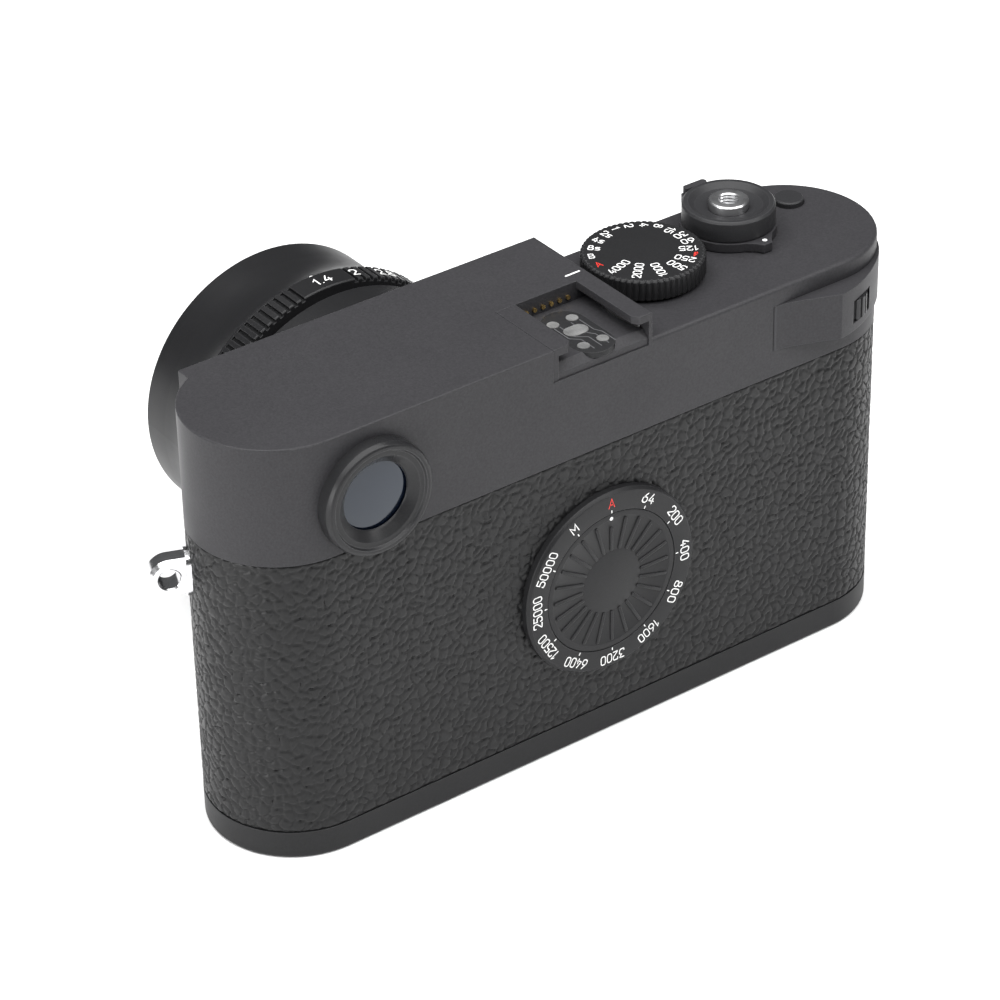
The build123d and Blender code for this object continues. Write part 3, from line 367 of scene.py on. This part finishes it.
GLYPHS = {
    "0": [(True, [(0, 0, 1.5), (3.8, 0, 1.5), (3.8, 6, 1.5), (0, 6, 1.5)])],
    "1": [(False, [(0.5, 4.5), (2.0, 6), (2.0, 0)])],
    "2": [(False, [(0.1, 4.5), (0.1, 6, 1.5), (3.9, 6, 1.5), (3.9, 3.6, 1.2), (0, 0, 0.2), (4, 0)])],
    "3": [(False, [(0.1, 6), (3.9, 6, 0.2), (1.9, 3.6, 0.2), (4, 3.6, 1.5), (4, 0, 1.6), (0, 0, 1.4), (0, 1.2)])],
    "4": [(False, [(2.4, 6), (0, 1.6, 0.2), (4.1, 1.6)]), (False, [(3.0, 3.3), (3.0, 0)])],
    "5": [(False, [(3.8, 6), (0.3, 6), (0.2, 3.5), (4, 3.7, 1.6), (4, 0, 1.7), (0, 0, 1.4), (0, 1.1)])],
    "6": [(False, [(2.9, 6), (0, 2.9, 1.4), (0, 0, 1.6), (3.9, 0, 1.6), (3.9, 3.5, 1.6), (0.7, 3.5)])],
    "7": [(False, [(0, 6), (4, 6, 0.2), (1.5, 0)])],
    "8": [(True, [(0.4, 3.35, 1.1), (3.5, 3.35, 1.1), (3.5, 6, 1.1), (0.4, 6, 1.1)]),
          (True, [(0, 0, 1.3), (3.9, 0, 1.3), (3.9, 2.95, 1.2), (0, 2.95, 1.2)])],
    "A": [(False, [(0, 0), (2.1, 6), (4.2, 0)]), (False, [(0.8, 1.9), (3.4, 1.9)])],
    "B": [(True, [(0, 3.3), (3.4, 3.3, 1.1), (3.4, 6, 1.1), (0, 6)]),
          (True, [(0, 0), (3.9, 0, 1.3), (3.9, 3.0, 1.2), (0, 3.0)])],
    "M": [(False, [(0, 0), (0, 6), (2.3, 2.3), (4.6, 6), (4.6, 0)])],
    "s": [(False, [(3.0, 3.9), (0, 3.9, 0.95), (0, 2.0, 0.95), (3.0, 2.0, 0.95), (3.0, 0, 0.95), (0, 0)])],
    ".": [(False, [(0.3, 0.1), (0.35, 0.1)])],
    "~": [(False, [(2.7, 6), (1.2, 3.3), (2.9, 3.3), (1.4, 0.2)]), (False, [(0.6, 1.7), (1.3, 0.0), (2.9, 1.0)])],
}
WIDTHS = {"1": 2.6, ".": 0.8, "s": 3.0, "A": 4.2, "M": 4.6, "~": 3.0}


def stroke(points, width, closed):
    """A pen stroke as flat quads with round ends, and the outline needed to close its sides."""
    pts = [np.array(p, float) for p in points]
    n = len(pts)
    left, right = [], []
    for i, p in enumerate(pts):
        before = pts[i - 1] if (closed or i) else None
        after = pts[(i + 1) % n] if (closed or i < n - 1) else None
        d0 = (p - before) if before is not None else (after - p)
        d1 = (after - p) if after is not None else (p - before)
        d0, d1 = d0 / np.linalg.norm(d0), d1 / np.linalg.norm(d1)
        tangent = d0 + d1
        tangent /= np.linalg.norm(tangent)
        normal = np.array([-tangent[1], tangent[0]])
        stretch = 1 / max(0.55, float(normal @ np.array([-d1[1], d1[0]])))
        left.append(p + normal * width / 2 * stretch)
        right.append(p - normal * width / 2 * stretch)
    if closed:
        return [left, right]
    outline = list(left)
    for end, arm in ((pts[-1], left[-1] - pts[-1]), (pts[0], right[0] - pts[0])):
        if end is pts[0]:
            outline += right[::-1]
        for k in range(1, 6):
            a = -math.pi * k / 6
            outline.append(end + np.array([arm[0] * math.cos(a) - arm[1] * math.sin(a),
                                           arm[0] * math.sin(a) + arm[1] * math.cos(a)]))
    return [outline, None, len(left)]


def solid_strokes(strokes, width, place, verts, faces, lift=0.03, sink=0.05):
    """Adds each pen stroke as a thin closed solid; place(x, y, h) puts glyph points on the object."""
    for closed, points in strokes:
        line = soften(points, closed, 5)
        s = stroke(line, width, closed)
        if closed:
            loops = [s[0], s[1]]
            n = len(s[0])
            base = len(verts)
            for h in (lift, -sink):
                for loop in loops:
                    verts += [place(p[0], p[1], h) for p in loop]
            lt, rt, lb, rb = (base + k * n for k in range(4))
            for k in range(n):
                j = (k + 1) % n
                faces += [(lt + k, lt + j, rt + j, rt + k), (lb + j, lb + k, rb + k, rb + j),
                          (lt + j, lt + k, lb + k, lb + j), (rt + k, rt + j, rb + j, rb + k)]
            continue
        outline, _, m = s
        n = len(outline)
        base = len(verts)
        for h in (lift, -sink):
            verts += [place(p[0], p[1], h) for p in outline]
        right_end = m + 5
        quads = []
        for k in range(m - 1):
            quads.append((k, k + 1, right_end + m - 2 - k, right_end + m - 1 - k))
        cap_a = [m - 1] + list(range(m, m + 5)) + [right_end]
        cap_b = [right_end + m - 1] + list(range(right_end + m, n)) + [0]
        for q in quads + [tuple(cap_a), tuple(cap_b)]:
            faces.append(tuple(base + i for i in q))
            faces.append(tuple(base + n + i for i in reversed(q)))
        for k in range(n):
            j = (k + 1) % n
            faces.append((base + j, base + k, base + n + k, base + n + j))


def text_width(text, gap=1.35):
    """Width of a line of glyphs, in glyph units."""
    return sum(WIDTHS.get(c, 4.0) + gap for c in text) - gap


def write(text, height, weight, place, verts, faces, gap=1.35, thin=1.0):
    """One line of generic characters centred on place(0, 0), with its baseline at y = 0."""
    k = height / 6.0
    x = -text_width(text, gap) / 2
    for c in text:
        here = x

        def put(px, py, h, here=here):
            return place((px + here) * k * thin, py * k, h)

        solid_strokes(GLYPHS[c], weight / k, put, verts, faces)
        x += WIDTHS.get(c, 4.0) + gap


def labels(name, items, body, finish):
    """Separate closed solids for a set of labels (text, height, weight, place) on one piece."""
    verts, faces = [], []
    for item in items:
        write(item[0], item[1], item[2], item[3], verts, faces, *item[4:])
    return piece(name, verts, faces, body, finish, angle=40)


def dots(name, spots, body, finish, sides=28):
    """Low domed dots: each spot is (radius, place)."""
    verts, faces = [], []
    for radius, place in spots:
        rows = []
        for r, h in ((1.0, -0.06), (1.0, 0.02), (0.92, 0.05), (0.6, 0.06)):
            rows.append(len(verts))
            verts += [place(radius * r * math.cos(2 * math.pi * k / sides),
                            radius * r * math.sin(2 * math.pi * k / sides), h) for k in range(sides)]
        for a, b in zip(rows, rows[1:]):
            faces += [(a + k, a + (k + 1) % sides, b + (k + 1) % sides, b + k) for k in range(sides)]
        faces.append(tuple(rows[-1] + k for k in range(sides)))
        faces.append(tuple(rows[0] + k for k in reversed(range(sides))))
    return piece(name, verts, faces, body, finish, angle=50)


def on_disc(seat, radius, angle, face):
    """Place text on a flat dial at this radius and angle, its top outwards."""
    def place(x, y, h):
        return seat(math.hypot(x, radius + y), angle + math.atan2(x, radius + y), face + h)
    return place


# ================================================================ leather covering

PERIMETER = 4 * END_X + 2 * math.pi * END_R


def creases(u, v, cell, seed):
    """Distance to the nearest crease between pebbles of about this size, in millimetres."""
    across = round(PERIMETER / cell)
    cell_u = PERIMETER / across
    jitter = np.random.default_rng(seed).uniform(0.06, 0.94, (across, 160, 2))
    iu, iv = np.floor(u / cell_u).astype(int), np.floor(v / cell).astype(int) + 4
    near = np.full((3,) + u.shape, 1e9)
    for du in (-1, 0, 1):
        for dv in (-1, 0, 1):
            j = jitter[(iu + du) % across, iv + dv]
            d = np.hypot((iu + du + j[..., 0]) * cell_u - u, (iv - 4 + dv + j[..., 1]) * cell - v)
            near[2] = np.minimum(near[2], np.maximum(near[1], d))
            near[1] = np.where(d < near[0], near[0], np.minimum(near[1], np.maximum(near[0], d)))
            near[0] = np.minimum(near[0], d)
    return near[1] - near[0]


def grain(u, v):
    """How far the hide stands back from its highest point, in millimetres."""
    turn = 2 * math.pi / PERIMETER
    wu = u + 0.30 * np.sin(1.3 * v + 1.6 * np.sin(29 * turn * u)) + 0.10 * np.sin(4.3 * v + 77 * turn * u)
    wv = v + 0.30 * np.sin(61 * turn * u + 1.4 * np.sin(0.8 * v)) + 0.10 * np.sin(211 * turn * u + 2.1 * v)
    big = creases(wu, wv, 1.95, 3)
    small = creases(wu, wv, 1.3, 8)
    along = np.sin(37 * turn * u + 2.0 * np.sin(0.35 * v))
    patch = 0.5 + 0.5 * along * np.sin(0.45 * v + 1.3 * np.sin(19 * turn * u))
    depth = 0.20 * np.exp(-(big / 0.24) ** 2) + 0.09 * patch * np.exp(-(small / 0.18) ** 2)
    dome = 0.10 * np.exp(-big / 0.55)
    return depth + dome


def leather_sheet(pitch=0.27):
    """The hide round the whole body, open where controls come through, with its cut edges turned in."""
    across, up = round(PERIMETER / pitch), round((LEATHER_TOP - BASE_TOP) / pitch)
    s = np.arange(across) * PERIMETER / across
    v = np.linspace(0, LEATHER_TOP - BASE_TOP, up + 1)
    straight, arc = 2 * END_X, math.pi * END_R
    flat1, arc1, flat2 = s < straight, (s >= straight) & (s < straight + arc), \
        (s >= straight + arc) & (s < 2 * straight + arc)
    angle = np.where(flat1, math.pi / 2, np.where(arc1, math.pi / 2 + (s - straight) / END_R, np.where(
        flat2, 1.5 * math.pi, 1.5 * math.pi + (s - 2 * straight - arc) / END_R)))
    cx = np.where(flat1, END_X - s, np.where(arc1, -END_X, np.where(flat2, s - straight - arc - END_X, END_X)))
    nx, ny = np.cos(angle), np.sin(angle)
    uu, vv = np.meshgrid(s, v, indexing="ij")
    back = grain(uu, vv)
    rim = np.minimum(vv, LEATHER_TOP - BASE_TOP - vv)
    back = back * np.clip(rim / 0.5, 0.35, 1) + 0.32 * np.exp(-(rim / 0.22) ** 2)
    r = END_R - back
    x = cx[:, None] + np.where((flat1 | flat2)[:, None], 0.0, nx[:, None]) * r
    y = ny[:, None] * r
    z = BASE_TOP + vv
    pts = np.stack([x, y, z], -1)
    front, rear = pts[..., 1] < -14, pts[..., 1] > 14
    holes = [(rear, ISO, 17.3), (rear, EYE, 9.9), (front, LENS, 26.4),
             (front, LENS_RELEASE, 5.3), (front, FRAME_LEVER, 4.6)]
    gone = np.zeros(x.shape, bool)
    for where, (hx, hz), radius in holes:
        dx, dz = pts[..., 0] - hx, pts[..., 2] - hz
        d = np.hypot(dx, dz)
        edge = where & (np.abs(d - radius) < 0.62 * pitch)
        grow = np.where(edge, radius / np.maximum(d, 1e-6), 1.0)
        pts[..., 0] = hx + dx * grow
        pts[..., 2] = hz + dz * grow
        gone |= where & (d < radius - 0.62 * pitch)
    for side in (1, -1):
        turn = math.radians(LUG_TURN)
        across_foot = side * (pts[..., 0] - side * END_X) * math.sin(turn) + pts[..., 1] * math.cos(turn)
        ahead = side * (pts[..., 0] - side * END_X) * math.cos(turn) - pts[..., 1] * math.sin(turn)
        off = np.hypot(across_foot, np.maximum(np.abs(pts[..., 2] - LUG_Z) - 2.0, 0.0))
        gone |= (ahead > 8) & (off < 2.05)
    keep = -np.ones(x.shape, int)
    keep[~gone] = np.arange((~gone).sum())
    quads = []
    for i in range(across):
        a, b = keep[i], keep[(i + 1) % across]
        ok = (a[:-1] >= 0) & (a[1:] >= 0) & (b[:-1] >= 0) & (b[1:] >= 0)
        quads.append(np.stack([a[:-1], a[1:], b[1:], b[:-1]], -1)[ok])
    faces = np.concatenate(quads)
    verts = pts[~gone]
    edges = np.concatenate([faces[:, [k, (k + 1) % 4]] for k in range(4)])
    ordered = np.sort(edges, 1)
    _, where, count = np.unique(ordered, axis=0, return_inverse=True, return_counts=True)
    rim_edges = edges[count[where.ravel()] == 1]
    ends = np.unique(rim_edges)
    inner = verts[ends].copy()
    cx_end = np.clip(inner[:, 0], -END_X, END_X)
    out = np.stack([inner[:, 0] - cx_end, inner[:, 1]], -1)
    inner[:, 0] -= out[:, 0] / END_R * 0.62
    inner[:, 1] -= out[:, 1] / END_R * 0.62
    second = -np.ones(len(verts), int)
    second[ends] = len(verts) + np.arange(len(ends))
    walls = np.stack([rim_edges[:, 1], rim_edges[:, 0], second[rim_edges[:, 0]], second[rim_edges[:, 1]]], -1)
    return np.concatenate([verts, inner]), np.concatenate([faces, walls])


verts, faces = leather_sheet()
piece("leather_covering", verts.tolist(), faces.tolist(), "camera", LEATHER, ("leather_wrap",), 75)

# ================================================================ sensitivity dial on the back

back_iso = seat_back(ISO)
lathe("iso_number_ring", [(17.96, 15.35), (17.96, 17.05, 0.12), (17.42, 17.6, 0.15), (13.75, 17.6, 0.12),
                          (13.75, 15.35)], back_iso, "camera", DIAL_BLACK, ("iso_ring",), 320)
disc_line = soften([(0, 17.5), (5.95, 17.5), (6.15, 17.42, 0.05), (12.45, 17.42), (12.6, 17.5, 0.05),
                    (13.67, 17.5, 0.14), (13.67, 15.75), (3.0, 15.75), (3.0, 11.8), (0, 11.8)], True, 4)
disc_line = [(max(0.0, a), b) for a, b in disc_line]
lathe("iso_turning_disc", disc_line, back_iso, "iso_dial", DIAL_BLACK, ("iso_disc",), 320)


def rib_set(name, count, inner, outer, width, foot, top, seat, body, finish, short=()):
    """Raised radial ribs with rounded ends and softened top edges."""
    verts, faces = [], []
    for i in range(count):
        angle = 2 * math.pi * i / count
        end = outer - (1.3 if i in short else 0.0)
        line = []
        for centre, start in ((end - width / 2, 0), (inner + width / 2, 180)):
            for k in range(9):
                a = math.radians(start - 90 + 22.5 * k)
                line.append((centre, math.cos(a), math.sin(a)))
        base = len(verts)
        rings = [(0.0, foot), (0.0, top - 0.1), (0.03, top - 0.03), (0.1, top)]
        for inset, level in rings:
            for c, ca, sa in line:
                rad, side = c + (width / 2 - inset) * ca, (width / 2 - inset) * sa
                verts.append(seat(math.hypot(rad, side), angle + math.atan2(side, rad), level))
        n = len(line)
        for a in range(len(rings) - 1):
            for k in range(n):
                j = (k + 1) % n
                faces.append((base + a * n + k, base + a * n + j, base + (a + 1) * n + j, base + (a + 1) * n + k))
        faces.append(tuple(base + (len(rings) - 1) * n + k for k in range(n)))
        faces.append(tuple(base + k for k in reversed(range(n))))
    return piece(name, verts, faces, body, finish, angle=50)


rib_set("iso_disc_ribs", 24, 6.2, 12.3, 0.62, 17.3, 17.66, back_iso, "iso_dial", DIAL_BLACK, (0,))

iso_words = ["A", "64", "200", "400", "800", "1600", "3200", "6400", "12500", "25000", "50000", "M"]
white, red = [], []
for i, word in enumerate(iso_words):
    spot = on_disc(back_iso, 15.05, math.radians(30 * i), ISO_FACE)
    (red if word == "A" else white).append((word, 1.72, 0.215, spot, 1.5, 0.86 if len(word) > 3 else 0.95))
labels("iso_numbers", white, "camera", WHITE)
labels("iso_auto_letter", red, "camera", RED)
verts, faces = [], []
for i in range(12):
    spot = on_disc(back_iso, 14.0, math.radians(30 * i), ISO_FACE)
    solid_strokes([(False, [(0, 0.0), (0, 0.38)])], 0.2, spot, verts, faces)
piece("iso_ticks", verts, faces, "camera", WHITE, angle=40)
dots("iso_index_dot", [(0.36, on_disc(back_iso, 12.72, 0.0, 17.5))], "iso_dial", WHITE)

# ================================================================ shutter dial

deck_dial = seat_deck(DIAL)


def knurl(theta, r, s):
    """Sixty rounded teeth round the dial's side, fading out at its top bevel."""
    if r < 10.3:
        return r, s
    wave = abs(math.sin(30 * theta))
    return r - 0.36 * (1 - wave ** 0.55), s


lathe("shutter_speed_dial", [(0, 76.85), (10.6, 76.85, 0.15), (10.86, 77.1, 0.1), (10.86, 80.45, 0.1),
                             (10.5, 80.8, 0.05), (10.05, 80.8), (0, 80.8)],
      deck_dial, "shutter_dial", DIAL_BLACK, ("shutter_dial",), 960, knurl, 4, 40)


def inward(angle, radius, face):
    """Place text on the dial so that it reads from the rim towards the middle."""
    dx, dy = math.sin(angle), math.cos(angle)

    def place(x, y, h):
        px = DIAL[0] + dx * (radius - x) + dy * y
        py = DIAL[1] + dy * (radius - x) - dx * y
        return (px, py, face + h)
    return place


SPEED_RIM, SPEED_HEIGHT = 9.5, 1.42
speeds = [("A", 95.5), ("B", 115.4), ("8s", 134.1), ("4s", 153.0), ("2s", 170.4), ("1", 186.5), ("2", 202.0),
          ("4", 218.9), ("8", 235.0), ("15", 251.1), ("30", 268.0), ("60", 284.5), ("125", 302.5),
          ("~", 316.0), ("250", 329.0), ("500", 350.0), ("1000", 16.0), ("2000", 45.0), ("4000", 74.0)]
white, red = [], []
for word, angle in speeds:
    reach = SPEED_RIM - text_width(word, 1.6) * SPEED_HEIGHT / 6 / 2

    def spot(x, y, h, a=math.radians(angle), m=reach, up=SPEED_HEIGHT / 2):
        return inward(a, m, DIAL_TOP)(x, y - up, h)

    (red if word in "A~" else white).append((word, SPEED_HEIGHT, 0.2, spot, 1.6, 1.0))
labels("shutter_speeds", white, "shutter_dial", WHITE)
labels("shutter_red_marks", red, "shutter_dial", RED)


def on_deck(x, y, h):
    """Place a line on the raised deck."""
    return (x, y, DECK_HIGH + h)


verts, faces = [], []
solid_strokes([(False, [(-10.1, -2.65), (-7.3, -2.6)])], 0.38, on_deck, verts, faces)
piece("dial_index_bar", verts, faces, "camera", WHITE, angle=40)

# ================================================================ lens markings


def on_ring(theta, radius, u):
    """Place text round the lens so that it is read from behind, its top away from the body."""
    return lambda x, y, h: seat_lens(radius + h, theta - x / radius, u + y)


stops = [("1.4", 0.3), ("2", -13.2), ("2.8", -27.2), ("4", -40.7), ("5.6", -54.2), ("8", -67.7), ("11", -81.2),
         ("16", -94.7)]
labels("aperture_numbers",
       [(w, 2.0, 0.26, on_ring(math.radians(a), APERTURE_R, 52.6), 1.5, 1.0) for w, a in stops],
       "aperture_ring", WHITE)
dots("aperture_index_dot", [(0.42, on_ring(math.radians(0.9), FRONT_BARREL_R, 56.55))], "optical_unit", WHITE)

# ================================================================ eyepiece surround

lathe("eyepiece_surround", [(8.02, 14.7), (10.3, 14.7), (10.3, 18.1, 0.35), (9.95, 18.85, 0.3), (9.55, 19.0, 0.12),
                            (9.05, 19.0, 0.1), (8.75, 18.5, 0.12), (7.85, 18.5, 0.18), (6.3, 17.3, 0.2),
                            (6.1, 17.0, 0.05), (8.02, 17.0)],
      seat_back(EYE), "camera", RIM_GREY, ("eyepiece_ring",), 256)

dome = [(6.85 * k / 12, 16.98 - 0.38 * (k / 12) ** 2) for k in range(13)]
lathe("eyepiece_glass", dome + [(6.85, 14.6), (0, 14.6)], seat_back(EYE), "camera", FINDER_GLASS,
      ("eyepiece_lens",), 128)
# ================================================================ contact traces in the shoe

verts, faces = [], []
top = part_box("shoe_insulator")[1].z / MM
TRACES = ((-3.9, -4.6), (-2.2, -3.2), (0.2, -1.7), (1.3, -0.2))
for x0, x1 in TRACES:
    solid_strokes([(False, [(x0, 5.6), (x0, 9.6, 0.6), (x1, 11.0, 0.6), (x1, 14.6)])], 0.16,
                  lambda x, y, h: (x, y, top + h), verts, faces, 0.025, 0.03)
piece("shoe_traces", verts, faces, "camera", GREY_MARK, angle=40)

# ================================================================ release and switch

boss = [(0, 71.45), (3.55, 71.45), (3.55, 82.3, 0.12), (3.3, 82.55, 0.1), (2.0, 82.55, 0.08)]
THREAD_TURNS, THREAD_PITCH = 6, 0.62
for k in range(THREAD_TURNS):
    boss += [(1.78, 82.3 - THREAD_PITCH * k, 0.04), (2.02, 81.99 - THREAD_PITCH * k, 0.04)]
boss += [(1.75, 78.1), (0, 78.1)]
lathe("release_boss", boss, seat_deck(RELEASE), "release_button", SATIN_STEEL, ("release_button",), 160)
dots("switch_index_dot", [(0.45, lambda x, y, h: (-45.5 + x, 3.9 + y, 78.1 + h))], "main_switch", WHITE)

# ================================================================ floor, lights and camera

floor_finish = coated_metal("studio_sweep", (0.90, 0.90, 0.90), 0.85, 90.0, 0.00002, spread=0.05, edge=0.001,
                            tint=0.01)
bpy.ops.mesh.primitive_grid_add(x_subdivisions=8, y_subdivisions=8, size=9.0, location=(0, 0, 0))
floor = bpy.context.object
floor.name = "studio_floor"
floor.data.materials.append(floor_finish.mat)


def softbox(name, place, aim, size, watts):
    """A soft rectangular area light."""
    data = bpy.data.lights.new(name, "AREA")
    data.shape = "RECTANGLE"
    data.size, data.size_y = size
    data.energy = watts
    obj = bpy.data.objects.new(name, data)
    obj.location = place
    obj.rotation_euler = (Vector(aim) - Vector(place)).to_track_quat("-Z", "Y").to_euler()
    bpy.context.scene.collection.objects.link(obj)


softbox("overhead", (0.10, 0.12, 1.1), (0.02, 0.05, 0.0), (1.7, 1.5), 36.0)
softbox("left_strip", (1.1, 0.16, 0.22), (0.05, 0, 0.05), (0.12, 0.5), 6.5)
softbox("far_right", (-0.62, 0.75, 0.80), (0.0, 0.0, 0.04), (0.25, 0.5), 3.4)

world = bpy.data.worlds.new("studio_air")
world.use_nodes = True
world.node_tree.nodes["Background"].inputs["Color"].default_value = (0.97, 0.98, 1.0, 1)
world.node_tree.nodes["Background"].inputs["Strength"].default_value = 0.12
bpy.context.scene.world = world
bpy.context.scene.view_settings.view_transform = "Standard"
bpy.context.scene.view_settings.look = "None"

# The viewpoint's own axes and place, in metres.
RIGHT = Vector((-0.80654716, 0.59087233, -0.01875022))
DOWN = Vector((0.33358467, 0.42870345, -0.83960385))
AHEAD = Vector((-0.4880604, -0.68343489, -0.5428755))
data = bpy.data.cameras.new("view")
data.sensor_width = 36.0
data.lens = 141.1
data.clip_start = 0.02
camera = bpy.data.objects.new("view", data)
turn = Matrix((RIGHT, -DOWN, -AHEAD)).transposed().to_4x4()
camera.matrix_world = Matrix.Translation((0.337919, 0.460179, 0.409770)) @ turn
bpy.context.scene.collection.objects.link(camera)
bpy.context.scene.camera = camera
